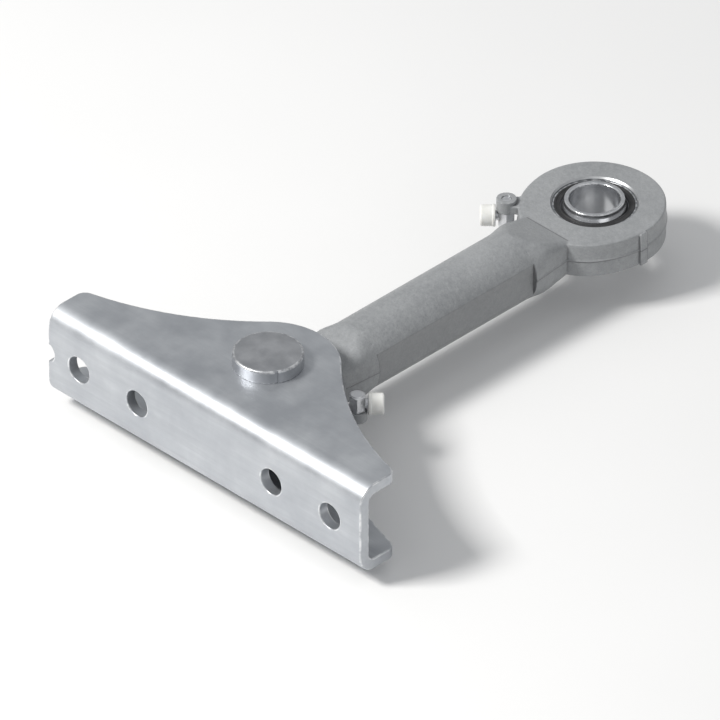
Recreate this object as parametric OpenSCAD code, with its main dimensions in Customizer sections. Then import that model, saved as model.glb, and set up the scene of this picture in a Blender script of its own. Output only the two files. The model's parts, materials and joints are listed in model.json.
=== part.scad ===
// Gate opener arm: a bent-plate bracket that bolts to the gate, a headed pivot pin, and a cast arm
// with a spherical plain bearing in the eye at each end.
// Frame: origin on the gate face of the bracket, at the centre of its four bolt holes.
// +X runs along the bracket, +Y away from the gate along the arm, +Z up along the pivot pin.

/* [Bracket] */
// Length of the bracket along the gate
bracket_l = 214; // [200:1:240]
// Height of the bracket over both flanges
bracket_h = 50; // [48:1:60]
// Thickness of the plate
plate_t = 6; // [5:0.5:7]
// Inner radius of the two bends
bend_r = 4; // [3:0.5:5]
// Radius of the rounded nose around the pin
nose_r = 35.5; // [33:0.5:37]
// Radius of the hollow curve from the nose to each tip
flare_r = 168; // [150:1:180]
// Radius of the corner at each tip
tip_r = 6; // [4:0.5:8]
// Diameter of the bolt holes
bolt_d = 14; // [11:0.5:16]
// Distance between the two inner bolt holes
inner_bolts = 92; // [80:1:100]
// Distance between the two outer bolt holes
outer_bolts = 172; // [165:1:176]
// Radius of the notch in one end of the web
notch_r = 5; // [3:0.5:6]
// Depth of that notch
notch_depth = 4; // [2:0.5:5]

/* [Pivot pin] */
// Distance from the gate face to the pin axis
pin_y = 44; // [43:0.5:46]
// Diameter of the pin head
head_d = 35; // [32:0.5:40]
// Height of the pin head
head_h = 7; // [5:0.5:9]
// Outer diameter of the washer under the lower flange
washer_d = 36; // [34:0.5:40]
// Thickness of that washer
washer_t = 3; // [2:0.5:4]
// Thickness of the retaining ring
clip_t = 1.2; // [1:0.1:1.5]
// Diameter of the pin at the bottom of the ring groove
groove_d = 23.9; // [23.5:0.1:24.2]

/* [Spacers] */
// Outer diameter of the spacer sleeves
spacer_d = 32; // [30:0.5:34]
// Outer diameter of the thrust washers
thrust_d = 35; // [33:0.5:38]
// Thickness of the thrust washers
thrust_t = 1.5; // [1:0.5:2]

/* [Bearings] */
// Bore of the inner ring
bore_d = 25; // [25]
// Diameter of the ball surface
ball_d = 35.5; // [35.5]
// Width of the inner ring over its collars
ring_w = 23; // [22:0.5:25]
// Diameter of the collars
collar_d = 30; // [29:0.5:30.5]
// Outer diameter of the outer race
race_d = 42; // [42]
// Width of the outer race
race_w = 16; // [16]
// Outer diameter of the seals
seal_d = 40; // [39:0.5:40.5]
// Thickness of the seals
seal_t = 1.2; // [1:0.1:1.5]

/* [Arm] */
// Distance between the two eye centres
arm_cc = 225; // [200:1:260]
// Diameter of the eyes at the parting line
eye_d = 71.2; // [70:0.1:72]
// Thickness of the eyes
eye_t = 18.5; // [18:0.5:20]
// Draft of the eye walls, in degrees
draft = 1.5; // [0.5:0.5:3]
// Distance from an eye centre to the centre of its shoulders, towards the shank
shoulder_y = 6; // [4:0.5:8]
// Radius of the shoulders
shoulder_r = 33.8; // [33:0.1:35]
// Diameter of the round shank
shank_d = 36.3; // [34:0.1:36.5]
// Distance from an eye centre to the near end of the shank
shank_end = 58.5; // [56:0.5:64]
// Width of the shank across its two side flats
flats_w = 32; // [30:0.1:34]
// Distance from an eye centre to the near end of its neck
neck_y = 33; // [32:0.5:34]
// Width of the neck where it meets the eye
neck_w = 31.8; // [28:0.2:32]
// Distance from an eye centre to the neck's squarest section
neck_mid = 50; // [48:1:52]
// Corner radius of that section
neck_mid_r = 8.5; // [7:0.5:10]
// Width of the raised land on the eye rim
land_w = 4.6; // [4:0.1:6]
// Distance from the eye's cross axis to the middle of that land, towards the shank
land_y = 2; // [0:0.5:3]
// Height of that land above the rim
land_h = 0.8; // [0.5:0.1:1]

/* [Grease fittings] */
// Distance from an eye centre to the upright axis of its fitting
fitting_r = 43.1; // [42.8:0.1:43.5]
// Diameter of the round pad that carries the fitting
pad_d = 10; // [9.6:0.1:10.4]
// Thickness of the rear pad
rear_pad_t = 5.4; // [4:0.1:6]
// Thickness of the front pad, which stands proud of the eye
front_pad_t = 6.8; // [5:0.1:7]
// Width of the fitting across its flats
hex_w = 7.8; // [7:0.1:8.5]
// Height of the six-sided body
hex_h = 8.8; // [8:0.1:9.5]
// Distance from the nipple axis to the pad
seat = 3.5; // [3:0.1:4]
// Length of the nipple from the six-sided body to its tip
nipple_l = 7.3; // [7:0.1:7.4]
// Height of the nipple axis above the arm's middle plane
nipple_z = 1.2; // [0:0.1:1.5]
// Diameter of the dust cap
cap_d = 11.3; // [10:0.1:12]
// Length of the dust cap
cap_l = 7.8; // [7.7:0.1:8.5]

/* [Hidden] */

$fn = 96;
over = 1;                                    // how far a cutter runs past the face it cuts
nose_a = 45;                                 // direction from the pin in which nose and flare meet
flare_c = [(nose_r + flare_r) * cos(nose_a), pin_y + (nose_r + flare_r) * sin(nose_a)];
nose_end = [nose_r * cos(nose_a), pin_y + nose_r * sin(nose_a)];
tip_x = bracket_l / 2 - tip_r;
tip_c = [tip_x, flare_c[1] - sqrt(pow(flare_r + tip_r, 2) - pow(flare_c[0] - tip_x, 2))];
tip_end = tip_c + tip_r / (flare_r + tip_r) * (flare_c - tip_c);
bend_out = bend_r + plate_t;                 // outer radius of the bends
gap_half = bracket_h / 2 - plate_t;          // from the middle plane to a flange's inner face
reach = pin_y + nose_r + over;               // past the nose, for the folded section

bore_r = bore_d / 2;
running = 0.025;                             // radial clearance of the pin in the inner ring
shaft_r = bore_r - running;
loose = 0.1;                                 // clearance of washers, sleeves and flange holes on the pin
socket_gap = 0.05;                           // clearance between ball and race
press_gap = 0.02;                            // what is left between pressed rings
spacer_l = gap_half - ring_w / 2 - thrust_t - loose;
groove_top = -bracket_h / 2 - washer_t;
shaft_low = groove_top - clip_t - 3.5;
edge = 0.8;                                  // chamfer on the pin and the rings

eye_r = eye_d / 2;
front_y = pin_y + arm_cc;
shank_l = arm_cc - 2 * shank_end;
neck_in = 4;                                 // how far the neck runs on inside the eye
neck_lap = 0.5;                              // how far the shank runs on inside the neck
neck_step = 0.05;                            // the neck's end stands this far proud of the shank
neck_rise = (shank_d - eye_t) / 2 / (shank_end - neck_y);
neck_flare = (shank_d - neck_w) / 2 / (shank_end - neck_y);

stem_d = 5;
nipple_d = 6.5;
nipple_neck = 5;
cap_gap = 0.3;                               // clearance of the cap from the pad
cap_in = fitting_r + pad_d / 2 + cap_gap;    // inner end of the cap
cap_bore_l = cap_l - 1.6;
drill_d = 2.4;                               // grease drilling from the pad to the race

// Places its children at an eye, in that eye's own axes: 0 is the rear eye, 1 the front eye.
module at_eye(front) {
    translate([0, front ? front_y : pin_y, 0]) rotate(front ? 180 : 0) children();
}

// Both halves of something that is the same above and below the middle plane.
module both_sides() {
    children();
    mirror([0, 0, 1]) children();
}

// A flat ring between two heights.
module ring(inner_r, outer_r, low, high) {
    translate([0, 0, low]) difference() {
        cylinder(r = outer_r, h = high - low);
        translate([0, 0, -over]) cylinder(r = inner_r, h = high - low + 2 * over);
    }
}

// ---- bracket ----

// Outline of one flange seen from above: nose, hollow flares and round tips.
module flange_outline() {
    difference() {
        polygon([[-bracket_l / 2, 0], [bracket_l / 2, 0],
                 [bracket_l / 2, tip_c[1]], tip_c, tip_end, nose_end,
                 [-nose_end[0], nose_end[1]], [-tip_end[0], tip_end[1]], [-tip_c[0], tip_c[1]],
                 [-bracket_l / 2, tip_c[1]]]);
        for (side = [-1, 1]) translate([side * flare_c[0], flare_c[1]]) circle(r = flare_r);
    }
    translate([0, pin_y]) circle(r = nose_r);
    for (side = [-1, 1]) translate([side * tip_c[0], tip_c[1]]) circle(r = tip_r);
}

// A square corner block with its outer edge rounded: the outline of one bend.
module bend_outline(half_h, back, r) {
    translate([back + r, -half_h]) square([reach, 2 * half_h]);
    translate([back, -half_h + r]) square([reach, 2 * (half_h - r)]);
    for (side = [-1, 1]) translate([back + r, side * (half_h - r)]) circle(r = r);
}

// Folded section of the plate, open away from the gate.
module channel_section() {
    difference() {
        bend_outline(bracket_h / 2, 0, bend_out);
        bend_outline(gap_half, plate_t, bend_r);
    }
}

module gate_bracket() {
    color([0.80, 0.81, 0.83]) difference() {
        intersection() {
            translate([-bracket_l / 2, 0, 0]) rotate([90, 0, 90])
                linear_extrude(bracket_l) channel_section();
            translate([0, 0, -bracket_h]) linear_extrude(2 * bracket_h) flange_outline();
        }
        for (spacing = [inner_bolts, outer_bolts], side = [-1, 1])
            translate([side * spacing / 2, -over, 0]) rotate([-90, 0, 0])
                cylinder(d = bolt_d, h = plate_t + 2 * over);
        translate([-bracket_l / 2 + notch_depth - notch_r, -over, 0]) rotate([-90, 0, 0])
            cylinder(r = notch_r, h = plate_t + 2 * over);
        translate([0, pin_y, -bracket_h]) cylinder(r = bore_r + loose, h = 2 * bracket_h);
    }
}

// ---- pivot ----

module pivot_pin() {
    head_low = bracket_h / 2;
    head_top = head_low + head_h;
    mark_a = -31;                            // side of the head that carries the small notch
    color([0.74, 0.75, 0.77]) translate([0, pin_y, 0]) difference() {
        rotate_extrude() polygon([
            [0, shaft_low], [shaft_r - edge, shaft_low], [shaft_r, shaft_low + edge],
            [shaft_r, groove_top - clip_t - loose], [groove_d / 2, groove_top - clip_t - loose],
            [groove_d / 2, groove_top], [shaft_r, groove_top], [shaft_r, head_low],
            [head_d / 2, head_low], [head_d / 2, head_top - edge],
            [head_d / 2 - edge, head_top], [0, head_top]]);
        rotate(mark_a) translate([head_d / 2 - 0.6, -0.7, head_low - over])
            cube([2, 1.4, head_h + 2 * over]);
    }
}

module pin_washer() {
    color([0.78, 0.79, 0.80]) translate([0, pin_y, 0])
        ring(shaft_r + loose, washer_d / 2, -bracket_h / 2 - washer_t, -bracket_h / 2);
}

// Open ring, thicker opposite its gap, with an ear and a plier hole at each end.
module pin_retaining_ring() {
    clip_r = 15;
    lean = 0.8;                              // how far the outside is off centre, to thicken the back
    ear_a = 13;                              // half the angle between the ears
    ear_r = 2.6;
    color([0.35, 0.35, 0.36]) translate([0, pin_y, groove_top - clip_t]) linear_extrude(clip_t)
        difference() {
            union() {
                translate([0, -lean]) circle(r = clip_r);
                for (side = [-1, 1]) rotate(90 + side * ear_a) translate([clip_r, 0]) circle(r = ear_r);
            }
            circle(r = groove_d / 2 + socket_gap);
            polygon([[0, 0], 30 * [cos(90 + ear_a / 2), sin(90 + ear_a / 2)],
                     30 * [cos(90 - ear_a / 2), sin(90 - ear_a / 2)]]);
            for (side = [-1, 1]) rotate(90 + side * ear_a) translate([clip_r + 0.3, 0]) circle(r = 1.2);
        }
}

module thrust_washer() {
    translate([0, pin_y, 0])
        ring(bore_r + loose, thrust_d / 2, gap_half - loose - thrust_t, gap_half - loose);
}

module spacer() {
    translate([0, pin_y, 0]) ring(bore_r + loose, spacer_d / 2, ring_w / 2, ring_w / 2 + spacer_l);
}

module upper_thrust_washer() { color([0.72, 0.62, 0.42]) thrust_washer(); }
module lower_thrust_washer() { color([0.72, 0.62, 0.42]) mirror([0, 0, 1]) thrust_washer(); }
module upper_spacer() { color([0.70, 0.71, 0.73]) spacer(); }
module lower_spacer() { color([0.70, 0.71, 0.73]) mirror([0, 0, 1]) spacer(); }

// ---- bearings ----

// Inner ring: a ball surface between two short collars.
module ball() {
    difference() {
        union() {
            intersection() {
                sphere(d = ball_d);
                cylinder(d = ball_d, h = ring_w - 2 * over, center = true);
            }
            cylinder(d = collar_d, h = ring_w, center = true);
        }
        cylinder(r = bore_r, h = ring_w + 2 * over, center = true);
    }
}

// Outer race: hollow ball seat, with a recess for a seal at each face.
module race() {
    difference() {
        cylinder(r = race_d / 2 - press_gap, h = race_w, center = true);
        sphere(r = ball_d / 2 + socket_gap);
        both_sides() translate([0, 0, race_w / 2 - seal_t]) cylinder(d = seal_d, h = seal_t + over);
    }
}

module seal() {
    lip_r = sqrt(pow(ball_d / 2, 2) - pow(race_w / 2 - seal_t, 2)) + 0.3;
    ring(lip_r, seal_d / 2 - press_gap, race_w / 2 - seal_t, race_w / 2);
}

module rear_ball() { color([0.62, 0.63, 0.65]) at_eye(0) ball(); }
module rear_race() { color([0.45, 0.46, 0.48]) at_eye(0) race(); }
module rear_upper_seal() { color([0.12, 0.12, 0.13]) at_eye(0) seal(); }
module rear_lower_seal() { color([0.12, 0.12, 0.13]) at_eye(0) mirror([0, 0, 1]) seal(); }
module front_race() { color([0.45, 0.46, 0.48]) at_eye(1) race(); }
module front_ball() { color([0.62, 0.63, 0.65]) at_eye(1) ball(); }
module front_upper_seal() { color([0.12, 0.12, 0.13]) at_eye(1) seal(); }
module front_lower_seal() { color([0.12, 0.12, 0.13]) at_eye(1) mirror([0, 0, 1]) seal(); }

// ---- arm ----

// Round shank with a flat on each side. Its ends run a little way into the necks.
module shank() {
    translate([0, pin_y + shank_end - neck_lap, 0]) intersection() {
        rotate([-90, 0, 0]) cylinder(d = shank_d, h = shank_l + 2 * neck_lap);
        translate([-flats_w / 2, -over, -shank_d])
            cube([flats_w, shank_l + 2 * (neck_lap + over), 2 * shank_d]);
    }
}

// Thin slice across the neck at a distance from the eye centre: a rectangle with round corners.
module neck_slice(y, w, h, corner_r) {
    translate([0, y, 0]) rotate([90, 0, 0]) linear_extrude(0.02) offset(r = corner_r, $fn = 32)
        square([w - 2 * corner_r, h - 2 * corner_r], center = true);
}

// Neck from inside the eye to the round shank, squarest part of the way along.
module neck() {
    mid = (neck_mid - neck_y) / (shank_end - neck_y);
    hull() {
        translate([0, shank_end, 0]) rotate([90, 0, 0])
            cylinder(r = (shank_d / 2 + neck_step) / cos(180 / 64), h = neck_lap, $fn = 64);
        neck_slice(neck_mid, neck_w + mid * (shank_d - neck_w),
                   eye_t + mid * (shank_d - eye_t), neck_mid_r);
        neck_slice(neck_y - neck_in, neck_w - 2 * neck_in * neck_flare,
                   eye_t - 2 * neck_in * neck_rise, 0.5);
    }
}

// Eye with rounded shoulders towards the shank, a little draft from the parting line to each face,
// and the raised land on its rim.
module eye() {
    slant = eye_t / 2 * tan(draft);
    both_sides() {
        cylinder(r1 = eye_r, r2 = eye_r - slant, h = eye_t / 2);
        translate([0, shoulder_y, 0])
            cylinder(r1 = shoulder_r, r2 = shoulder_r - slant, h = eye_t / 2);
    }
    translate([-eye_r - land_h, land_y - land_w / 2, -eye_t / 2])
        cube([2 * land_h + over, land_w, eye_t]);
}

// Turns its children to a fitting: x outwards from the eye, z from the pad's side of the nipple axis.
module at_fitting() { rotate(45) children(); }

// Pad for a grease fitting, with the bridge that joins it to the rim.
// side is +1 for a pad above the nipple axis and -1 for one below.
module fitting_pad(side) {
    pad_t = side > 0 ? front_pad_t : rear_pad_t;
    bridge_t = min(pad_t, eye_t / 2 - seat - side * nipple_z);
    bridge_w = pad_d - 1;
    root = 2;                                // how far the bridge runs into the rim
    at_fitting() translate([0, 0, nipple_z]) mirror([0, 0, side > 0 ? 0 : 1]) translate([0, 0, seat]) {
        translate([fitting_r, 0, 0]) cylinder(d = pad_d, h = pad_t);
        translate([eye_r - root, -bridge_w / 2, 0]) cube([fitting_r - eye_r + root, bridge_w, bridge_t]);
    }
}

// Holes of one eye: the race's seat, the fitting's stem and the grease drilling between them.
module eye_holes(side) {
    drill_z = nipple_z + side * (seat + drill_d / 2 + 0.2);
    cylinder(d = race_d, h = eye_t + 2 * over, center = true);
    at_fitting() {
        translate([fitting_r, 0, nipple_z + side * (seat + front_pad_t / 2)])
            cylinder(d = stem_d, h = front_pad_t + 2 * over, center = true);
        translate([race_d / 2 - 2, 0, drill_z]) rotate([0, 90, 0])
            cylinder(d = drill_d, h = fitting_r - race_d / 2 + 2);
    }
}

module arm_casting() {
    color([0.70, 0.71, 0.72]) difference() {
        union() {
            shank();
            for (front = [0, 1]) at_eye(front) {
                neck();
                eye();
                fitting_pad(front ? 1 : -1);
            }
        }
        for (front = [0, 1]) at_eye(front) eye_holes(front ? 1 : -1);
    }
}

// ---- grease fittings ----

// Elbow nipple: stem in the pad, six-sided body, low crown, and the nipple pointing away from the eye.
module grease_nipple(side) {
    stem_r = stem_d / 2 - press_gap;
    stem_l = (side > 0 ? front_pad_t : rear_pad_t) - 0.5;
    crown_r = 3.1;
    neck_l = 3.3;                            // of the nipple, before its head
    head_l = 1.2;
    at_fitting() translate([fitting_r, 0, nipple_z]) {
        mirror([0, 0, side > 0 ? 1 : 0]) {
            translate([0, 0, -seat - stem_l]) cylinder(r = stem_r, h = stem_l + over);
            translate([0, 0, -seat]) rotate(30) cylinder(d = hex_w / cos(30), h = hex_h, $fn = 6);
            translate([0, 0, hex_h - seat - 0.2]) cylinder(r1 = hex_w / 2 - 0.1, r2 = crown_r, h = 0.7);
        }
        rotate([0, 90, 0]) rotate_extrude() polygon([
            [0, 0], [nipple_neck / 2, 0], [nipple_neck / 2, hex_w / 2 + neck_l],
            [nipple_d / 2, hex_w / 2 + neck_l + head_l], [nipple_d / 2, hex_w / 2 + neck_l + 2 * head_l],
            [1.4, hex_w / 2 + nipple_l], [0, hex_w / 2 + nipple_l]]);
    }
}

// Push-on dust cap over the nipple.
module nipple_cap() {
    bore = nipple_d / 2 + 0.1;
    lip = nipple_neck / 2 + 0.3;
    round_r = 1.2;
    at_fitting() translate([cap_in, 0, nipple_z]) rotate([0, 90, 0]) rotate_extrude() {
        difference() {
            union() {
                square([cap_d / 2, cap_l - round_r]);
                square([cap_d / 2 - round_r, cap_l]);
                translate([cap_d / 2 - round_r, cap_l - round_r]) circle(r = round_r);
            }
            translate([-over, -over]) square([lip + over, cap_l]);
            translate([-over, 1.5]) square([bore + over, cap_bore_l - 1.5]);
            translate([-over - cap_d, -over]) square([over + cap_d, cap_l + 2 * over]);
        }
        translate([0, cap_bore_l]) square([cap_d / 4, cap_l - cap_bore_l]);
    }
}

module rear_grease_nipple() { color([0.76, 0.76, 0.74]) at_eye(0) grease_nipple(-1); }
module rear_nipple_cap() { color([0.88, 0.88, 0.86]) at_eye(0) nipple_cap(); }
module front_grease_nipple() { color([0.76, 0.76, 0.74]) at_eye(1) grease_nipple(1); }
module front_nipple_cap() { color([0.88, 0.88, 0.86]) at_eye(1) nipple_cap(); }

gate_bracket();
pivot_pin();
pin_washer();
pin_retaining_ring();
upper_thrust_washer();
lower_thrust_washer();
upper_spacer();
lower_spacer();
rear_ball();
rear_race();
rear_upper_seal();
rear_lower_seal();
arm_casting();
front_race();
front_ball();
front_upper_seal();
front_lower_seal();
rear_grease_nipple();
rear_nipple_cap();
front_grease_nipple();
front_nipple_cap();
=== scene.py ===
# Gate opener arm: the visual model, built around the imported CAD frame.
# Shapes are worked out in millimetres in the frame of the CAD model and scaled to metres at the end:
# +X along the bracket, +Y away from the gate along the arm, +Z up along the pivot pin.
import json
import math

import bmesh
import bpy
import numpy as np
from mathutils import Matrix, Vector
from mathutils.geometry import tessellate_polygon


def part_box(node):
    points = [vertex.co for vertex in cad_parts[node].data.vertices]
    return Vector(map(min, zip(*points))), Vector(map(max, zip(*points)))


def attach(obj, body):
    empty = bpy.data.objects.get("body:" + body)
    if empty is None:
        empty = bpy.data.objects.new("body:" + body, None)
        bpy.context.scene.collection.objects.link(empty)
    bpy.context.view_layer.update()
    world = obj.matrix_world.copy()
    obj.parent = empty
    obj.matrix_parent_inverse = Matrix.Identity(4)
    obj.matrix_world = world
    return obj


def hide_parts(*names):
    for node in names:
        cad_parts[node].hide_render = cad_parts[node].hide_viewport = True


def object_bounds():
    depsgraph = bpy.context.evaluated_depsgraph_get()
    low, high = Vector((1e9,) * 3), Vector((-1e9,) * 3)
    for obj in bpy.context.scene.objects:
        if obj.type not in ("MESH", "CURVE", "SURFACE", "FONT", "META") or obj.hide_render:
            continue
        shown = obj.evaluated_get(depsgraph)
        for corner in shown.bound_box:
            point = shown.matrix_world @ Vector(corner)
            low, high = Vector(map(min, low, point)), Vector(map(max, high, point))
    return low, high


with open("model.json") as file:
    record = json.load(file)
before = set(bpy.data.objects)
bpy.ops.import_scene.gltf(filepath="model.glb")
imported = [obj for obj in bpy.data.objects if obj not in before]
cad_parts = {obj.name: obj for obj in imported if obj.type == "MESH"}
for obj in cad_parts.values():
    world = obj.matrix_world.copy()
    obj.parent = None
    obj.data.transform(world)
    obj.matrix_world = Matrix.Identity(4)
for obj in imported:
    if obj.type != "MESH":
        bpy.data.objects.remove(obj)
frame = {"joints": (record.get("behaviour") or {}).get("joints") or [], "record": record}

MM = 0.001
CAD_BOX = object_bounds()
BODY = {n: b for b, nodes in frame["record"]["behaviour"]["bodies"].items() for n in nodes}
JOINT = {j["name"]: j for j in frame["joints"]}


def low(node):
    """Lowest corner of a CAD node in millimetres."""
    return Vector(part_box(node)[0]) / MM


def high(node):
    """Highest corner of a CAD node in millimetres."""
    return Vector(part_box(node)[1]) / MM


# ---- driving sizes ----

PIN = Vector(JOINT["arm_swing"]["pos_m"]) / MM
EYE = Vector(JOINT["front_ring_tilt"]["pos_m"]) / MM
ARM = EYE.y - PIN.y                          # between the two eye centres

PLATE = 6.0                                  # thickness of the bracket
BEND = 4.0                                   # inner radius of its bends
NOSE_R = 35.5
FLARE_R = 168.0
TIP_R = 6.0
BOLT_R = 7.0
BOLT_X = (46.0, 86.0)
NOTCH_R = 5.0
NOTCH_DEPTH = 4.0
PIN_HOLE_R = 12.6

EYE_R = 35.6                                 # eye radius at the parting line
EYE_HALF = 9.25                              # half its thickness
DRAFT = math.tan(math.radians(1.5))
RIM_IN = 0.3                                 # how far the rim is set in beside the parting line
FLASH_H = 0.38                               # the parting line stands a little proud
FLASH_HALF = 0.55
SHOULDER_Y = 6.0                             # the eye's outline swells a little towards the shank
SHOULDER_R = 33.8
SHANK_R = 18.15
SHANK_END = 58.5                             # from an eye centre to the near end of the shank
FLAT_X = 16.0                                # from the arm's axis to each side flat
NECK_Y = 33.0                                # from an eye centre to the near end of its neck
NECK_IN = 4.0                                # how far the neck runs on inside the eye
NECK_HALF = 15.9                             # half the neck's width at its near end
NECK_MID = 50.0                              # where the neck is squarest
NECK_MID_R = 8.5                             # its corner radius there
LAND_W = 4.6
LAND_H = 0.8
LAND_IN = 0.15                               # keeps the land inside the CAD one
LAND_Y = 2.0                                 # from the eye's cross axis, towards the shank
RACE_R = 21.0                                # bore of the eye
GAP = 0.02                                   # between parts that are pressed together

FITTING = 43.1                               # from an eye centre to its fitting's upright axis
PAD_R = 5.0
PAD_T = {-1: 5.4, 1: 6.8}                    # the rear pad hangs below, the front one stands up
SEAT = 3.5                                   # from the nipple axis to the pad
NIPPLE_Z = 1.2                               # nipple axis above the middle plane
HEX_HALF = 3.9                               # half the fitting's width across flats
HEX_H = 8.8
STEM_R = 2.5
CAP_R = 5.65
CAP_L = 7.8
CAP_IN = FITTING + PAD_R + 0.3               # where the dust cap starts


# ---- node graphs ----

class Graph:
    """A material's node tree with short calls for the nodes used here."""

    def __init__(self, name):
        self.material = bpy.data.materials.new(name)
        self.material.use_nodes = True
        self.tree = self.material.node_tree
        self.shader = self.tree.nodes["Principled BSDF"]
        self.where = self.node("ShaderNodeTexCoord").outputs["Object"]

    def node(self, kind, **settings):
        made = self.tree.nodes.new(kind)
        for key, value in settings.items():
            setattr(made, key, value)
        return made

    def feed(self, socket, value):
        """Links an output to a socket, or sets the socket to a plain value."""
        if isinstance(value, bpy.types.NodeSocket):
            self.tree.links.new(value, socket)
        else:
            socket.default_value = value

    def set(self, **values):
        """Sets or links shader inputs; base_color stands for Base Color."""
        for key, value in values.items():
            socket = self.shader.inputs[key.replace("_", " ").title().replace("Ior", "IOR")]
            self.feed(socket, value)

    def stretch(self, scale):
        """Object coordinates scaled along each axis, for marks that run one way."""
        made = self.node("ShaderNodeMapping")
        self.feed(made.inputs["Vector"], self.where)
        made.inputs["Scale"].default_value = scale
        return made.outputs["Vector"]

    def noise(self, scale, detail=4.0, rough=0.5, where=None):
        made = self.node("ShaderNodeTexNoise")
        self.feed(made.inputs["Vector"], where or self.where)
        made.inputs["Scale"].default_value = scale
        made.inputs["Detail"].default_value = detail
        made.inputs["Roughness"].default_value = rough
        return made.outputs["Fac"]

    def cells(self, scale):
        made = self.node("ShaderNodeTexVoronoi")
        self.feed(made.inputs["Vector"], self.where)
        made.inputs["Scale"].default_value = scale
        return made.outputs["Distance"]

    def rings(self, centre, radian):
        """Rings round an upright axis, as a lathe leaves them. radian is millimetres per radian."""
        turn = 20                                # radians the texture runs through in a unit of length
        shift = self.node("ShaderNodeMapping")
        self.feed(shift.inputs["Vector"], self.where)
        shift.inputs["Location"].default_value = (-centre.x * MM, -centre.y * MM, 0)
        made = self.node("ShaderNodeTexWave", wave_type="RINGS", rings_direction="Z")
        self.feed(made.inputs["Vector"], shift.outputs["Vector"])
        made.inputs["Scale"].default_value = 1 / (radian * MM) / turn
        made.inputs["Distortion"].default_value = 0.6
        made.inputs["Detail"].default_value = 2.0
        made.inputs["Detail Scale"].default_value = 3.0
        return made.outputs["Fac"]

    def span(self, value, low_in, high_in, low_out=0.0, high_out=1.0):
        made = self.node("ShaderNodeMapRange")
        self.feed(made.inputs["Value"], value)
        made.inputs["From Min"].default_value = low_in
        made.inputs["From Max"].default_value = high_in
        made.inputs["To Min"].default_value = low_out
        made.inputs["To Max"].default_value = high_out
        return made.outputs["Result"]

    def math(self, operation, *values):
        made = self.node("ShaderNodeMath", operation=operation)
        for socket, value in zip(made.inputs, values):
            self.feed(socket, value)
        return made.outputs[0]

    def largest(self, first, *others):
        """The largest of several masks."""
        for other in others:
            first = self.math("MAXIMUM", first, other)
        return first

    def mix(self, amount, a, b):
        """Colour a where amount is 0, and b where it is 1."""
        made = self.node("ShaderNodeMix", data_type="RGBA")
        self.feed(made.inputs["Factor"], amount)
        self.feed(made.inputs[6], (*a, 1.0) if isinstance(a, tuple) else a)
        self.feed(made.inputs[7], (*b, 1.0) if isinstance(b, tuple) else b)
        return made.outputs[2]

    def attribute(self, name):
        return self.node("ShaderNodeAttribute", attribute_name=name).outputs["Fac"]

    def bump(self, height, depth, under=None):
        """Adds relief of about depth millimetres, over an earlier bump if there is one."""
        made = self.node("ShaderNodeBump")
        made.inputs["Strength"].default_value = 1.0
        made.inputs["Distance"].default_value = depth * MM
        self.feed(made.inputs["Height"], height)
        if under:
            self.feed(made.inputs["Normal"], under)
        return made.outputs["Normal"]


# ---- materials ----

def zinc_plate():
    """Bright zinc over rolled plate: cloudy, with faint rolling marks and rubbed edges."""
    g = Graph("zinc_plate")
    cloud = g.noise(38, 5, 0.6)
    grain = g.noise(900, 3, 0.6)
    rolled = g.noise(260, 3, 0.7, g.stretch((0.05, 1, 1)))
    worn = g.math("MULTIPLY", g.attribute("wear"), g.span(g.noise(240, 3), 0.42, 0.60))
    tone = g.mix(g.span(cloud, 0.35, 0.68), (0.47, 0.49, 0.52), (0.60, 0.62, 0.645))
    tone = g.mix(g.span(rolled, 0.4, 0.7, 0, 0.35), tone, (0.42, 0.44, 0.47))
    tone = g.mix(g.math("MULTIPLY", worn, 0.8), tone, (0.86, 0.87, 0.88))
    rough = g.math("ADD", g.span(cloud, 0.3, 0.7, 0.40, 0.52), g.span(rolled, 0.3, 0.7, -0.03, 0.05))
    g.set(base_color=tone, metallic=0.92,
          roughness=g.math("SUBTRACT", rough, g.math("MULTIPLY", worn, 0.12)),
          normal=g.bump(grain, 0.012, g.bump(rolled, 0.02)))
    return g.material


def turned_steel(name, centre, light, dark, rough, radian=0.35, depth=0.008):
    """Steel with fine turning rings about an upright axis at centre."""
    g = Graph(name)
    cloud = g.noise(90, 4, 0.6)
    rings = g.rings(centre, radian)
    worn = g.math("MULTIPLY", g.attribute("wear"), g.span(g.noise(400, 3), 0.40, 0.60))
    tone = g.mix(g.span(cloud, 0.35, 0.65), dark, light)
    tone = g.mix(g.math("MULTIPLY", worn, 0.7), tone, (0.88, 0.89, 0.90))
    g.set(base_color=tone, metallic=0.95,
          roughness=g.math("ADD", g.span(cloud, 0.3, 0.7, rough - 0.05, rough + 0.06),
                           g.span(rings, 0, 1, -0.03, 0.03)),
          normal=g.bump(rings, depth))
    return g.material


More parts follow.
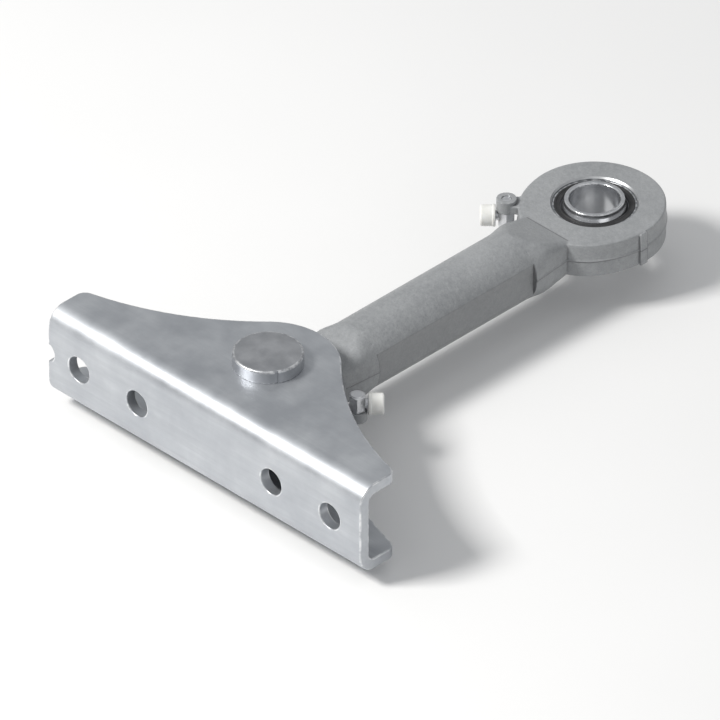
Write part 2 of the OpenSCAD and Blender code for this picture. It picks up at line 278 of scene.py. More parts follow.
def casting_shade_masks(g, pointed):
    """Masks for the casting's side flats, and for the painted shade along its lines and in its inner
    corners.
    """
    split = g.node("ShaderNodeSeparateXYZ")
    g.feed(split.inputs[0], g.where)
    across, height = split.outputs["X"], split.outputs["Z"]
    off_axis = g.math("ABSOLUTE", across)
    from_middle = g.math("SUBTRACT", split.outputs["Y"], (PIN.y + ARM / 2) * MM)
    along = g.math("ABSOLUTE", from_middle)

    def line(value, at, width):
        """1 along a line where value is at millimetres, fading out over its width."""
        away = g.math("ABSOLUTE", g.math("SUBTRACT", value, at * MM))
        return g.span(away, width * MM, width * MM / 2)

    def beyond(value, limit):
        return g.math("GREATER_THAN", value, limit * MM)

    on_ends = beyond(along, ARM / 2 - SHANK_END)
    at_side = beyond(off_axis, FLAT_X - 0.12)
    # where the side flats are, which get painted shade in the coat
    on_flat = g.math("MULTIPLY", at_side, g.math("SUBTRACT", 1.0, on_ends))

    # painted shade under the parting line's ridge, on its lower side, and along the end steps of the flats
    parting = g.math("MULTIPLY", line(height, -0.45, 0.55), on_ends)
    step = g.math("MULTIPLY", line(along, ARM / 2 - SHANK_END, 0.5), at_side)
    # a painted dark line where the flat top of the neck meets the eye's face, as far as the neck's rounded
    # corners
    on_face = g.math("MULTIPLY", beyond(g.math("ABSOLUTE", height), EYE_HALF - 0.3),
                     g.math("LESS_THAN", off_axis, (NECK_HALF - 1.8) * MM))
    crease = g.math("MULTIPLY", line(along, ARM / 2 - NECK_Y, 0.6), on_face)
    # painted shade at the foot of the land's outer side: the land is at +X on the front eye and at -X on
    # the rear one
    on_land_side = g.math("GREATER_THAN", g.math("MULTIPLY", across, from_middle),
                          (EYE_R - 0.8) * ARM / 2 * MM ** 2)
    foot = g.math("MULTIPLY", line(along, ARM / 2 - LAND_Y + LAND_W / 2, 0.5), on_land_side)
    # painted shade in the inner corners near the eyes, where the pointiness is low
    corner = g.math("MULTIPLY", g.span(pointed, 0.492, 0.465), beyond(along, ARM / 2 - NECK_MID))
    return on_flat, g.largest(parting, step, crease, corner, foot)


def cast_coat():
    """Grey coat over a sand casting: soft orange peel over cast grain, thin on the high edges."""
    g = Graph("cast_coat")
    cloud = g.noise(26, 4, 0.55)
    peel = g.noise(420, 2, 0.45)
    mottle = g.noise(340, 3, 0.6)
    sand = g.noise(1100, 4, 0.65)
    pits = g.span(g.cells(330), 0.0, 0.24)
    pointed = g.node("ShaderNodeNewGeometry").outputs["Pointiness"]
    worn = g.math("MULTIPLY", g.span(pointed, 0.52, 0.60), g.span(g.noise(300, 4, 0.7), 0.46, 0.62))
    on_flat, painted_shade = casting_shade_masks(g, pointed)
    tone = g.mix(g.span(cloud, 0.35, 0.65), (0.25, 0.26, 0.27), (0.32, 0.33, 0.34))
    tone = g.mix(g.span(mottle, 0.38, 0.66, 0, 0.35), tone, (0.40, 0.41, 0.42))
    tone = g.mix(g.span(sand, 0.42, 0.75, 0, 0.45), tone, (0.18, 0.185, 0.19))
    tone = g.mix(g.math("MULTIPLY", worn, 0.4), tone, (0.50, 0.51, 0.52))
    # painted shade: the flats are painted a little darker, so that they stand off from the round of the
    # shank
    tone = g.mix(g.math("MULTIPLY", on_flat, 0.5), tone, (0.19, 0.195, 0.20))
    # painted shade: darker along the parting line, the flats' end steps, the neck crease, the land's foot
    # and the inner corners
    tone = g.mix(g.math("MULTIPLY", painted_shade, 0.6), tone, (0.10, 0.10, 0.105))
    relief = g.bump(pits, 0.08, g.bump(sand, 0.09, g.bump(peel, 0.24)))
    g.set(base_color=tone, metallic=0.0,
          roughness=g.math("ADD", g.span(cloud, 0.3, 0.7, 0.40, 0.50), g.span(sand, 0.3, 0.8, 0, 0.10)),
          specular_ior_level=0.5, coat_weight=0.15, coat_roughness=0.35, normal=relief)
    return g.material


def machined_face():
    """Bare machined iron in the eye's bore and its chamfers."""
    g = Graph("machined_face")
    rings = g.noise(700, 3, 0.6, g.stretch((0.15, 0.15, 1)))
    g.set(base_color=g.mix(g.span(rings, 0.3, 0.7), (0.46, 0.47, 0.48), (0.62, 0.63, 0.64)),
          metallic=0.95, roughness=g.span(rings, 0.3, 0.7, 0.36, 0.44), normal=g.bump(rings, 0.004))
    return g.material


def black_spring():
    """Phosphated spring steel with a trace of oil."""
    g = Graph("black_spring")
    cloud = g.noise(500, 4, 0.6)
    g.set(base_color=g.mix(g.span(cloud, 0.35, 0.65), (0.06, 0.06, 0.065), (0.12, 0.12, 0.125)),
          metallic=0.6, roughness=g.span(cloud, 0.3, 0.7, 0.34, 0.48), normal=g.bump(cloud, 0.02))
    return g.material


def sintered_bronze():
    """Porous oil-filled bronze."""
    g = Graph("sintered_bronze")
    pores = g.span(g.cells(2200), 0.05, 0.35)
    cloud = g.noise(160, 4, 0.6)
    tone = g.mix(g.span(cloud, 0.35, 0.65), (0.50, 0.36, 0.19), (0.64, 0.49, 0.28))
    g.set(base_color=g.mix(pores, (0.26, 0.18, 0.10), tone), metallic=0.9,
          roughness=g.span(cloud, 0.3, 0.7, 0.36, 0.48), normal=g.bump(pores, 0.03))
    return g.material


def seal_rubber():
    """Matt black moulded rubber with a faint bloom."""
    g = Graph("seal_rubber")
    grain = g.noise(1800, 3, 0.6)
    bloom = g.noise(140, 4, 0.6)
    g.set(base_color=g.mix(g.span(bloom, 0.4, 0.7), (0.018, 0.018, 0.019), (0.040, 0.040, 0.042)),
          roughness=g.span(grain, 0.3, 0.7, 0.52, 0.66), normal=g.bump(grain, 0.02))
    return g.material


def natural_plastic():
    """Soft natural polyethylene, a little translucent, with scuffs."""
    g = Graph("natural_plastic")
    cloud = g.noise(220, 3, 0.5)
    scuff = g.noise(900, 4, 0.7)
    g.set(base_color=g.mix(g.span(cloud, 0.35, 0.65), (0.76, 0.76, 0.73), (0.84, 0.84, 0.82)),
          roughness=g.span(scuff, 0.3, 0.7, 0.36, 0.52), subsurface_weight=0.12,
          subsurface_scale=0.002, normal=g.bump(scuff, 0.015))
    g.shader.inputs["Subsurface Radius"].default_value = (1.0, 0.9, 0.8)
    return g.material


# ---- mesh helpers ----

def rounded(points, steps=5, guard=0.35):
    """A profile of (r, z, corner radius) points with each corner as an arc.

    Gives (r, z, wear) triples, where wear is 1 on the arcs and 0 on the guard points beside them."""
    out = []
    closed = points[0][0] > 0 or points[-1][0] > 0
    count = len(points)
    for i, (r, z, radius) in enumerate(points):
        here = Vector((r, z))
        if radius == 0 or (not closed and i in (0, count - 1)):
            out.append((r, z, 0.0))
            continue
        before = Vector(points[i - 1][:2]) - here
        after = Vector(points[(i + 1) % count][:2]) - here
        turn = math.pi - before.angle(after)
        cut = radius * math.tan(turn / 2)
        start = here + before.normalized() * cut
        end = here + after.normalized() * cut
        centre = here + (before.normalized() + after.normalized()).normalized() * (
            radius / math.cos(turn / 2))
        if before.length / 2 > cut + guard:
            out.append((*(start + before.normalized() * guard), 0.0))
        a, b = start - centre, end - centre
        for k in range(steps + 1):
            t = k / steps
            arm = (a * math.sin((1 - t) * turn) + b * math.sin(t * turn)) / math.sin(turn)
            out.append((*(centre + arm), 1.0))
        if after.length / 2 > cut + guard:
            out.append((*(end + after.normalized() * guard), 0.0))
    return out


def lathe(profile, segments=144, radius_at=None):
    """Turns a profile of (r, z, wear) about Z. radius_at(r, z, angle) can change the radius."""
    bm = bmesh.new()
    wear = bm.verts.layers.float.new("wear")
    closed = profile[0][0] > 0 or profile[-1][0] > 0
    rows = []
    for r, z, worn in profile:
        row = []
        for i in range(segments):
            angle = 2 * math.pi * i / segments
            rr = radius_at(r, z, angle) if radius_at else r
            vert = bm.verts.new((rr * math.cos(angle), rr * math.sin(angle), z))
            vert[wear] = worn
            row.append(vert)
        rows.append(row)
    pairs = list(zip(rows, rows[1:])) + ([(rows[-1], rows[0])] if closed else [])
    for below, above in pairs:
        for i in range(segments):
            j = (i + 1) % segments
            bm.faces.new((below[i], below[j], above[j], above[i]))
    bmesh.ops.remove_doubles(bm, verts=bm.verts, dist=1e-5)
    bmesh.ops.recalc_face_normals(bm, faces=bm.faces)
    return bm


def ring(inner, outer, bottom, top, edge):
    """Flat ring with rounded edges."""
    return lathe(rounded([(inner, bottom, edge), (outer, bottom, edge),
                          (outer, top, edge), (inner, top, edge)]))


def arc(centre, radius, start, end, steps):
    """Points on an arc, with both ends, from start to end in degrees."""
    return [Vector((centre[0] + radius * math.cos(math.radians(start + (end - start) * k / steps)),
                    centre[1] + radius * math.sin(math.radians(start + (end - start) * k / steps))))
            for k in range(steps + 1)]


def hole(centre, radius, steps=72):
    """A clockwise circle, so that its left side is material."""
    return arc(centre, radius, 360, 360 / steps, steps - 1)


def inset(loop, distance):
    """Moves a loop to its left by distance, with mitred corners."""
    out = []
    for i, here in enumerate(loop):
        a = (here - loop[i - 1]).normalized()
        b = (loop[(i + 1) % len(loop)] - here).normalized()
        left_a, left_b = Vector((-a.y, a.x)), Vector((-b.y, b.x))
        out.append(here + (left_a + left_b) * (distance / (1 + left_a.dot(left_b))))
    return out


def plate(loops, thickness, edge, steps=4, guard=0.4):
    """A flat plate from an outline and its holes, with rounded edges. z runs from 0 to thickness."""
    bm = bmesh.new()
    wear = bm.verts.layers.float.new("wear")
    quarter = [(edge * (1 - math.sin(a)), edge * (1 - math.cos(a)), 1.0)
               for a in (math.pi / 2 * k / steps for k in range(steps + 1))]
    section = [(edge + guard, 0.0, 0.0)] + quarter
    section += [(0.0, edge + guard, 0.0)]
    section += [(d, thickness - n, w) for d, n, w in reversed(section)]
    cap_loops = {0: [], len(section) - 1: []}
    for loop in loops:
        rows = []
        for index, (distance, height, worn) in enumerate(section):
            row = []
            for p in inset(loop, distance):
                vert = bm.verts.new((p.x, p.y, height))
                vert[wear] = worn
                row.append(vert)
            rows.append(row)
            if index in cap_loops:
                cap_loops[index].append(row)
        for below, above in zip(rows, rows[1:]):
            for i in range(len(loop)):
                j = (i + 1) % len(loop)
                bm.faces.new((below[i], below[j], above[j], above[i]))
    for rows in cap_loops.values():
        flat = [v for row in rows for v in row]
        for corners in tessellate_polygon([[v.co for v in row] for row in rows]):
            bm.faces.new([flat[c] for c in corners])
    bmesh.ops.recalc_face_normals(bm, faces=bm.faces)
    return bm


def place(bm, matrix):
    """Moves a bmesh by a matrix, and keeps its faces outwards when the matrix mirrors it."""
    bmesh.ops.transform(bm, matrix=matrix, verts=bm.verts)
    if matrix.determinant() < 0:
        bmesh.ops.reverse_faces(bm, faces=bm.faces)
    return bm


def moved(bm, x=0.0, y=0.0, z=0.0):
    return place(bm, Matrix.Translation((x, y, z)))


def cut(obj, tools):
    """Subtracts each bmesh in tools from an object whose mesh is in millimetres."""
    for bm in tools:
        mesh = bpy.data.meshes.new("tool")
        bm.to_mesh(mesh)
        bm.free()
        tool = bpy.data.objects.new("tool", mesh)
        bpy.context.scene.collection.objects.link(tool)
        boolean = obj.modifiers.new("cut", "BOOLEAN")
        boolean.operation = "DIFFERENCE"
        boolean.solver = "EXACT"
        boolean.object = tool
        boolean.material_mode = "TRANSFER"
        with bpy.context.temp_override(object=obj, active_object=obj):
            bpy.ops.object.modifier_apply(modifier=boolean.name)
        bpy.data.objects.remove(tool)


def finish_piece(node, bm, material, tools=(), tool_material=None, sharp=None):
    """Makes a shown piece that stands for a CAD node and rides its body, and hides the CAD node."""
    name = node + "_shown"
    mesh = bpy.data.meshes.new(name)
    bm.to_mesh(mesh)
    bm.free()
    obj = bpy.data.objects.new(name, mesh)
    bpy.context.scene.collection.objects.link(obj)
    mesh.materials.append(material)
    if tool_material:
        mesh.materials.append(tool_material)
    if tools:
        bpy.context.view_layer.objects.active = obj
        cut(obj, tools)
    obj.data.transform(Matrix.Scale(MM, 4))
    for face in obj.data.polygons:
        face.use_smooth = True
    if sharp:
        obj.data.set_sharp_from_angle(angle=math.radians(sharp))
    weighted = obj.modifiers.new("weighted", "WEIGHTED_NORMAL")
    weighted.keep_sharp = True
    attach(obj, BODY[node])
    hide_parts(node)


# ---- bracket ----

def bracket():
    """The folded plate: a flat blank with its outline, holes and rounded edges, bent into a U."""
    half_l = high("gate_bracket").x
    half_h = high("gate_bracket").z
    out_r = BEND + PLATE
    flat = half_h - out_r                    # half the web's flat height
    allowance = math.pi / 2 * (BEND + PLATE / 2)
    fold = flat + allowance                  # where the flange starts on the blank

    def on_blank(y):
        return fold + y - out_r

    # the flange's outline, from its right tip over the nose to its left tip
    reach = (NOSE_R + FLARE_R) / math.sqrt(2)
    flare = Vector((reach, PIN.y + reach))
    tip = Vector((half_l - TIP_R, 0))
    tip.y = flare.y - math.sqrt((FLARE_R + TIP_R) ** 2 - (flare.x - tip.x) ** 2)
    lean = math.degrees(math.atan2(flare.y - tip.y, flare.x - tip.x))
    right = arc(tip, TIP_R, 0, lean, 12)[:-1]
    right += arc(flare, FLARE_R, 180 + lean, 225, 28)[:-1]
    right += arc((0, PIN.y), NOSE_R, 45, 90, 20)
    flange = right + [Vector((-p.x, p.y)) for p in reversed(right[:-1])]
    upper = [Vector((p.x, on_blank(p.y))) for p in flange]
    lower = [Vector((-p.x, -p.y)) for p in upper]
    mouth = math.degrees(math.acos((NOTCH_R - NOTCH_DEPTH) / NOTCH_R))
    notch = arc((-half_l + NOTCH_DEPTH - NOTCH_R, 0), NOTCH_R, mouth, -mouth, 16)
    holes = [hole((side * x, 0), BOLT_R) for x in BOLT_X for side in (-1, 1)]
    holes += [hole((0, side * on_blank(PIN.y)), PIN_HOLE_R) for side in (-1, 1)]
    bm = plate([upper + notch + lower] + holes, PLATE, 0.55)

    # lines across the blank, so that the bends come out round
    for side in (-1, 1):
        for k in range(13):
            line = side * (flat + allowance * k / 12)
            bmesh.ops.bisect_plane(bm, geom=bm.verts[:] + bm.edges[:] + bm.faces[:], dist=1e-4,
                                   plane_co=(0, line, 0), plane_no=(0, 1, 0))
    for vert in bm.verts:
        x, s, depth = vert.co
        side = 1 if s > 0 else -1
        s = abs(s)
        if s <= flat:
            vert.co = (x, depth, side * s)
        elif s < fold:
            angle = (s - flat) / allowance * math.pi / 2
            r = out_r - depth
            vert.co = (x, out_r - r * math.cos(angle), side * (flat + r * math.sin(angle)))
        else:
            vert.co = (x, out_r + s - fold, side * (half_h - depth))
    bmesh.ops.recalc_face_normals(bm, faces=bm.faces)
    return bm


# ---- pin and stack ----

def pin():
    """Headed pin with a ring groove near its lower end."""
    base, top = low("pivot_pin").z, high("pivot_pin").z
    seat = high("gate_bracket").z
    shaft, chamfer = 12.475, 0.9
    groove = low("pin_washer").z
    groove_r, groove_w = 11.95, 1.3
    head_r = high("pivot_pin").x
    profile = [(0, base, 0), (shaft - chamfer, base, 0.2), (shaft, base + chamfer, 0.3),
               (shaft, groove - groove_w, 0.08), (groove_r, groove - groove_w, 0.08),
               (groove_r, groove, 0.08), (shaft, groove, 0.08), (shaft, seat, 0.3),
               (head_r, seat, 0.4), (head_r, top, 1.0), (0, top, 0)]
    return moved(lathe(rounded(profile)), y=PIN.y)


def pin_mark():
    """Cutter for the small upright notch in the head's rim."""
    long, wide, tall = 2.0, 1.4, 20.0
    depth, turn = 0.6, -31
    head = high("pivot_pin")
    bm = bmesh.new()
    bmesh.ops.create_cube(bm, size=1)
    place(bm, Matrix.Diagonal((long, wide, tall, 1)))
    moved(bm, x=head.x + long / 2 - depth, z=head.z)
    place(bm, Matrix.Rotation(math.radians(turn), 4, "Z"))
    return moved(bm, y=PIN.y)


def retaining_ring():
    """Stamped open ring with an ear and a plier hole at each end."""
    inner, clip_r, lean = 12.0, 15.0, 0.8        # lean is how far the outside is off centre
    ear_a, ear_r, ear_room = 13.0, 2.6, 22       # the ears' angle from the gap's middle, size and room
    plier_r, plier_out = 1.2, 0.3
    gap = ear_a / 2
    bottom, top = low("pin_retaining_ring").z, high("pin_retaining_ring").z
    # outside, anticlockwise, from the left ear round the back to the right ear
    start, end = 90 + ear_room, 360 + 90 - ear_room
    outer = []
    for k in range(61):
        angle = math.radians(start + (end - start) * k / 60)
        ray = Vector((math.cos(angle), math.sin(angle)))
        b = ray.y * lean
        outer.append(ray * (-b + math.sqrt(b * b - lean * lean + clip_r * clip_r)))
    ear_mid = {s: Vector((clip_r * math.cos(math.radians(90 + s * ear_a)),
                          clip_r * math.sin(math.radians(90 + s * ear_a)))) for s in (-1, 1)}
    right_ear = arc(ear_mid[-1], ear_r, -50, 150, 14)
    left_ear = arc(ear_mid[1], ear_r, 30, 230, 14)
    inside = [Vector((inner * math.cos(math.radians(a)), inner * math.sin(math.radians(a))))
              for a in np.linspace(90 - gap - 1, 90 + gap + 1 - 360, 61)]
    loop = outer + right_ear + inside + left_ear
    holes = [hole(ear_mid[s] * (1 + plier_out / clip_r), plier_r, 24) for s in (-1, 1)]
    bm = plate([loop] + holes, top - bottom, 0.12, 3, 0.1)
    return moved(bm, y=PIN.y, z=bottom)


def ball():
    """Inner ring: ball surface, collars and a chamfered bore."""
    ball_r, collar, bore, half = 17.75, 15.0, 12.5, 11.5
    join = math.sqrt(ball_r ** 2 - collar ** 2)
    sweep = math.degrees(math.asin(join / ball_r))
    outside = [(p.x, p.y, 0.0) for p in arc((0, 0), ball_r, -sweep, sweep, 36)]
    collars = rounded([(collar, join, 0), (collar, half, 0.5), (bore, half, 0.8),
                       (bore, -half, 0.8), (collar, -half, 0.5), (collar, -join, 0)])
    return lathe(outside + collars[1:-1])


def race():
    """Outer race: ball seat, seal recesses and rounded rims."""
    outer = RACE_R - GAP
    seat, half, recess, seal_t = 17.8, 8.0, 20.0, 1.2
    step = half - seal_t
    sweep = math.degrees(math.asin(step / seat))
    inside = [(p.x, p.y, 0.0) for p in arc((0, 0), seat, sweep, -sweep, 24)]
    below = rounded([(recess, -step, 0), (recess, -half, 0.15), (outer, -half, 0.4),
                     (outer, half, 0.4), (recess, half, 0.15), (recess, step, 0)], 3)
    return lathe(inside + below)


def seal():
    """Moulded seal with a rounded lip, a rib and a shallow channel."""
    lip, outer, bottom, top = 16.7, 19.98, 6.8, 8.0
    return lathe(rounded([(lip, bottom, 0.15), (outer, bottom, 0.15), (outer, top, 0.15),
                          (outer - 0.9, top, 0.1), (outer - 1.2, top - 0.3, 0.1),
                          (lip + 0.9, top - 0.3, 0.1), (lip + 0.6, top, 0.2), (lip, top - 0.1, 0.25)],
                         3, 0.1))


# ---- arm casting ----

def smooth_min(a, b, k):
    """Joins two shapes, given as distances, with a fillet about k wide."""
    h = np.clip(0.5 + 0.5 * (b - a) / k, 0, 1)
    return b * (1 - h) + a * h - k * h * (1 - h)


def smooth_max(a, b, k):
    """Where two shapes overlap, with its edges rounded about k wide."""
    return -smooth_min(-a, -b, k)


def eye_end(u, v, w, side):
    """Distance to one eye with its neck, land and fitting pad, in the eye's own axes."""
    flash = FLASH_H * np.exp(-((w / FLASH_HALF) ** 2))
    slant = np.abs(w) * DRAFT + RIM_IN - flash
    rim = smooth_min(np.hypot(u, v) - EYE_R, np.hypot(u, v - SHOULDER_Y) - SHOULDER_R, 1.5) + slant
    eye = smooth_max(rim, np.abs(w) - EYE_HALF, 0.9)

    # the neck's section is a rectangle grown by a radius; both change evenly between three stations
    start = NECK_Y - NECK_IN
    reach = SHANK_END - NECK_Y
    mid = (NECK_MID - NECK_Y) / reach
    back = -NECK_IN / reach
    stations = [(start, back, 0.5), (NECK_MID, mid, NECK_MID_R), (SHANK_END, 1.0, SHANK_R)]
    at = [y for y, _, _ in stations]

    def between(values):
        """The value at v, with the turns at the stations eased."""
        ease = 2.5
        return sum(np.interp(v + shift, at, values) for shift in (-ease, 0, 0, ease)) / 4

    r = between([corner for _, _, corner in stations])
    a = between([NECK_HALF + t * (SHANK_R - NECK_HALF) - c for _, t, c in stations])
    b = between([EYE_HALF + t * (SHANK_R - EYE_HALF) - c for _, t, c in stations])
    qa, qb = np.abs(u) - a, np.abs(w) - b
    section = np.hypot(np.maximum(qa, 0), np.maximum(qb, 0)) + np.minimum(np.maximum(qa, qb), 0) - r
    taper, neck_flash = 0.95, 0.8                       # the taper's slope shortens the distance
    neck = np.maximum(section * taper - neck_flash * flash,
                      np.abs(v - (start + SHANK_END) / 2) - (SHANK_END - start) / 2)

    land = np.maximum(np.abs(u + EYE_R) - LAND_H + LAND_IN, np.abs(v - LAND_Y) - LAND_W / 2)
    land = smooth_max(land, np.abs(w) - EYE_HALF, 0.8)

    p, q = (u + v) / math.sqrt(2), (v - u) / math.sqrt(2)
    outward = side * (w - NIPPLE_Z) - SEAT              # from the pad's inner face
    thick = PAD_T[side]
    bridge_t = min(thick, EYE_HALF - SEAT - side * NIPPLE_Z)
    bridge_l, bridge_in = 10, 0.3                       # its length, and how much narrower it is a side
    disc = smooth_max(np.hypot(p - FITTING, q) - PAD_R, np.abs(outward - thick / 2) - thick / 2, 0.5)
    bridge = np.maximum(np.abs(q) - PAD_R + bridge_in, np.abs(p - FITTING + bridge_l / 2) - bridge_l / 2)
    bridge = smooth_max(bridge, np.abs(outward - bridge_t / 2) - bridge_t / 2, 0.5)

    both = smooth_min(smooth_min(eye, neck, 0.45), land, 0.25)
    return smooth_min(both, smooth_min(disc, bridge, 0.4), 0.7)


def arm_distance(x, y, z):
    """Signed distance to the casting before machining, in millimetres from the rear eye's centre."""
    lap = 0.02                               # how far the shank runs on inside each neck
    along = y - ARM / 2
    shank = smooth_max(np.hypot(x, z) - SHANK_R, np.abs(x) - FLAT_X, 0.2)
    shank = np.maximum(shank, np.abs(along) - (ARM / 2 - SHANK_END) - lap)
    return np.minimum(shank, np.where(along < 0, eye_end(x, y, z, -1), eye_end(-x, ARM - y, z, 1)))


def surface_net(distance, xs, ys, zs):
    """Quads on the zero surface of distance, sampled on a grid with the given lines.

    Each point sits where the tangent planes of its cell meet, so that creases stay crisp."""
    f = distance(xs[:, None, None], ys[None, :, None], zs[None, None, :])
    inside = f < 0
    corners = [(i, j, k) for i in (0, 1) for j in (0, 1) for k in (0, 1)]
    nx, ny, nz = (n - 1 for n in f.shape)

    def corner(array, c):
        return array[c[0]:c[0] + nx, c[1]:c[1] + ny, c[2]:c[2] + nz]

    count = sum(corner(inside, c).astype(np.int8) for c in corners)
    i, j, k = np.nonzero((count > 0) & (count < 8))
    index = np.full((nx, ny, nz), -1)
    index[i, j, k] = np.arange(len(i))
    grid = (xs, ys, zs)
    cell = np.stack([i, j, k], 1)
    floor = np.stack([g[n] for g, n in zip(grid, (i, j, k))], 1)
    top = np.stack([g[n + 1] for g, n in zip(grid, (i, j, k))], 1)
    nudge = 0.03                             # for slopes, either side of a point
    middle, number = np.zeros((len(i), 3)), np.zeros(len(i))
    planes, targets = np.zeros((len(i), 3, 3)), np.zeros((len(i), 3))
    for a in corners:
        for axis in range(3):
            if a[axis]:
                continue
            b = tuple(c + (n == axis) for n, c in enumerate(a))
            fa = f[i + a[0], j + a[1], k + a[2]]
            fb = f[i + b[0], j + b[1], k + b[2]]
            hit = np.nonzero((fa < 0) != (fb < 0))[0]
            start = np.stack([g[cell[hit, n] + a[n]] for n, g in enumerate(grid)], 1)
            end = np.stack([g[cell[hit, n] + b[n]] for n, g in enumerate(grid)], 1)
            t = (fa[hit] / (fa[hit] - fb[hit]))[:, None]
            point = start + (end - start) * t
            normal = np.stack([distance(*(point + step).T) - distance(*(point - step).T)
                               for step in np.eye(3) * nudge], 1)
            normal /= np.maximum(np.linalg.norm(normal, axis=1), 1e-9)[:, None]
            middle[hit] += point
            number[hit] += 1
            planes[hit] += normal[:, :, None] * normal[:, None, :]
            targets[hit] += normal * (normal * point).sum(1)[:, None]
    middle /= number[:, None]
    # the point nearest all the tangent planes, held towards the middle where they don't settle it
    hold = 0.04
    verts = np.linalg.solve(planes + hold * np.eye(3), (targets + hold * middle)[:, :, None])[:, :, 0]
    verts = np.clip(verts, floor, top)

    # one quad across each grid edge that passes through the surface
    faces = []
    for axis in range(3):
        u, v = [n for n in range(3) if n != axis]
        lower = [slice(1, -1)] * 3
        lower[axis] = slice(0, -1)
        upper = list(lower)
        upper[axis] = slice(1, None)
        a, b = inside[tuple(lower)], inside[tuple(upper)]
        cells = np.argwhere(a != b)
        flip = a[tuple(cells.T)]
        cells += np.array([0 if n == axis else 1 for n in range(3)])
        quad = []
        for du, dv in ((1, 1), (0, 1), (0, 0), (1, 0)):
            c = cells.copy()
            c[:, u] -= du
            c[:, v] -= dv
            quad.append(index[tuple(c.T)])
        quad = np.stack(quad, 1)
        turn = flip if axis != 1 else ~flip
        faces.append(np.where(turn[:, None], quad, quad[:, ::-1]))
    return verts, np.concatenate(faces)


def lines(stops):
    """Grid lines through stops of (place, spacing up to the next stop)."""
    out = []
    for (a, gap), (b, _) in zip(stops, stops[1:]):
        n = max(1, round((b - a) / gap))
        out += [a + (b - a) * k / n for k in range(n)]
    return np.array(out + [stops[-1][0]])


def arm_blank():
    """The casting before machining, as a bmesh in the CAD frame."""
    fine, coarse, layer, thin = 0.6, 1.5, 0.65, 0.2
    side, end, rise, flash = 39, 38, 19.5, 1.2  # how far the grid reaches, and its thin layers
    near = SHANK_END + 3
    xs = lines([(-side, fine), (side, fine)])
    ys = lines([(-end, fine), (near, coarse), (ARM - near, fine), (ARM + end, fine)])
    zs = lines([(-rise, layer), (-flash, thin), (flash, layer), (rise, layer)])
    verts, faces = surface_net(arm_distance, xs, ys, zs)
    mesh = bpy.data.meshes.new("arm_blank")
    mesh.from_pydata((verts + (0, PIN.y, 0)).tolist(), [], faces.tolist())
    bm = bmesh.new()
    bm.from_mesh(mesh)
    bpy.data.meshes.remove(mesh)
    bmesh.ops.recalc_face_normals(bm, faces=bm.faces)
    return bm


def bore_tool(y, front):
    """Cutter for one eye: the seat of its race, chamfered at each face, and its fitting's stem."""
    chamfer, past = 0.8, 2.0
    side = 1 if front else -1
    wide = RACE_R + chamfer + past
    bm = lathe([(0, -EYE_HALF - past, 0), (wide, -EYE_HALF - past, 0),
                (RACE_R, -EYE_HALF + chamfer, 0), (RACE_R, EYE_HALF - chamfer, 0),
                (wide, EYE_HALF + past, 0), (0, EYE_HALF + past, 0)], 192)
    moved(bm, y=y)
    pad_face = PAD_T[side] + SEAT
    low_z, high_z = sorted((side * (SEAT - 1), side * (pad_face + 1)))
    stem = lathe([(0, low_z, 0), (STEM_R, low_z, 0), (STEM_R, high_z, 0), (0, high_z, 0)], 64)
    bm = joined(bm, at_fitting(moved(stem, x=FITTING), y, front))
    bare = 1                                 # the casting's second material
    for face in bm.faces:
        face.material_index = bare
    return bm


# ---- grease fittings ----

def at_fitting(bm, eye_y, front):
    """Takes a fitting from x outwards, z up from the nipple axis, to its place on an eye."""
    turn = Matrix.Rotation(math.radians(225 if front else 45), 4, "Z")
    return place(bm, Matrix.Translation((0, eye_y, 0)) @ turn @ Matrix.Translation((0, 0, NIPPLE_Z)))


def nipple_body(front):
    """Stem, six-sided elbow body with chamfered corners, and a low crown."""
    corner = HEX_HALF / math.cos(math.radians(30))
    stem = STEM_R - GAP
    foot_z = -SEAT - PAD_T[1 if front else -1] + 0.5
    chamfer = 0.4
    top = HEX_H - SEAT

    def six_sided(r, z, angle):
        turned = (math.degrees(angle) + 30) % 60 - 30
        return min(r, HEX_HALF / math.cos(math.radians(turned)))

    foot = [(0, foot_z, 0), (stem - chamfer, foot_z, 1.0), (stem, foot_z + chamfer, 1.0),
            (stem, -SEAT, 0), (HEX_HALF - 0.1, -SEAT, 1.0), (corner, -SEAT + chamfer, 1.0),
            (corner, -SEAT + 1.0, 0)]
    rise = [(corner - 0.7 * k / 6, top - 0.5 + 0.5 * k / 6, 1.0) for k in range(7)]
    crown = [(3.35, top + 0.1, 0), (3.2, top + 0.4, 1.0), (2.95, top + 0.5, 1.0), (2.5, top + 0.5, 0),
             (0, top + 0.5, 0)]
    bm = lathe(foot + rise + crown, 144, six_sided)
    if front:
        place(bm, Matrix.Rotation(math.pi, 4, "X"))
    return moved(bm, x=FITTING)


def nipple_head():
    """The nipple itself, from inside the body to its tip, along x."""
    neck, head, tip = 2.5, 3.25, 1.4         # radii
    inside, neck_end, head_start, head_end, tip_end = 2.0, 3.3, 4.5, 5.7, 7.3
    base = HEX_HALF
    profile = [(0, inside, 0), (neck, inside, 0), (neck, base + neck_end, 0.3),
               (head, base + head_start, 0.3), (head, base + head_end, 0.4),
               (tip, base + tip_end, 0.3), (0, base + tip_end, 0)]
    bm = lathe(rounded(profile, 3, 0.1), 64)
    place(bm, Matrix.Rotation(math.pi / 2, 4, "Y"))
    return moved(bm, x=FITTING)


def joined(first, second):
    """One bmesh holding both."""
    mesh = bpy.data.meshes.new("part")
    second.to_mesh(mesh)
    second.free()
    first.from_mesh(mesh)
    bpy.data.meshes.remove(mesh)
    return first


